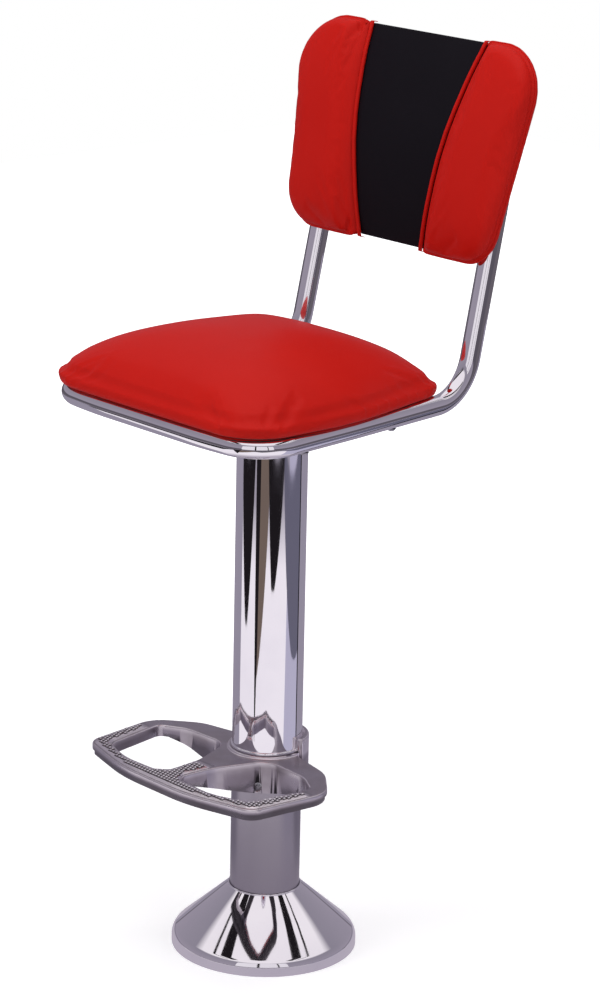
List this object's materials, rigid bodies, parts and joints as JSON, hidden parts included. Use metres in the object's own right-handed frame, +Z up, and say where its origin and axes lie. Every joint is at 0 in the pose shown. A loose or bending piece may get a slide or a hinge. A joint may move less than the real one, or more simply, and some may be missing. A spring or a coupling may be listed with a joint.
{
  "type": "counter stool",
  "caption": "Fixed pedestal diner counter stool with a swivel seat, V-insert back cushion, bent tube frame and cast loop footrest.",
  "frame": {"origin": "on the column axis at the floor, at the underside of the floor flange", "axes": "+Z up, +X to the sitter's left, and the sitter faces -Y"},
  "size_m": [0.4044, 0.4771, 1.1571],
  "materials": {
    "cast_iron": "matte",
    "chrome": "polished",
    "steel": "satin",
    "satin_steel": "satin",
    "cast_aluminium": "satin",
    "black_steel": "satin",
    "bronze": "satin",
    "bearing_steel": "polished",
    "zinc": "satin",
    "painted_steel": "satin",
    "black_plastic": "matte",
    "plywood": "matte",
    "red_vinyl": "satin",
    "black_vinyl": "satin"
  },
  "bodies": {
    "pedestal": {"floor_flange": "cast_iron", "base_cover": "chrome", "column_pipe": "steel", "lower_sleeve": "satin_steel", "upper_sleeve": "chrome", "hub_ring": "chrome", "footrest": "cast_aluminium", "footrest_set_screws": "black_steel", "swivel_housing": "chrome", "lower_bush": "bronze", "upper_bush": "bronze", "lower_race": "bearing_steel"},
    "bearing_cage": {"roller_cage": "bronze", "bearing_rollers": "bearing_steel"},
    "seat": {"upper_race": "bearing_steel", "swivel_spindle": "steel", "spindle_washer": "zinc", "spindle_nut": "zinc", "cotter_pin": "zinc", "swivel_plate": "painted_steel", "swivel_bolts": "zinc", "swivel_nuts": "zinc", "front_strap": "chrome", "rear_strap": "chrome", "seat_frame": "chrome", "post_plugs": "black_plastic", "seat_board": "plywood", "seat_cushion": "red_vinyl", "seat_screws": "zinc", "back_board": "plywood", "back_rear_panel": "red_vinyl", "back_pad_left": "red_vinyl", "back_pad_right": "red_vinyl", "back_insert": "black_vinyl", "left_piping": "red_vinyl", "right_piping": "red_vinyl", "back_screws": "zinc"}
  },
  "joints": [
    {"name": "seat_swivel", "type": "hinge", "parent": "pedestal", "child": "seat", "pos_m": [0, 0, 0.7], "axis": [0, 0, 1], "continuous": true},
    {"name": "cage_spin", "type": "hinge", "parent": "pedestal", "child": "bearing_cage", "pos_m": [0, 0, 0.7], "axis": [0, 0, 1], "continuous": true}
  ],
  "couplings": [
    {"joint": "cage_spin", "follows": "seat_swivel", "ratio": 0.5}
  ]
}
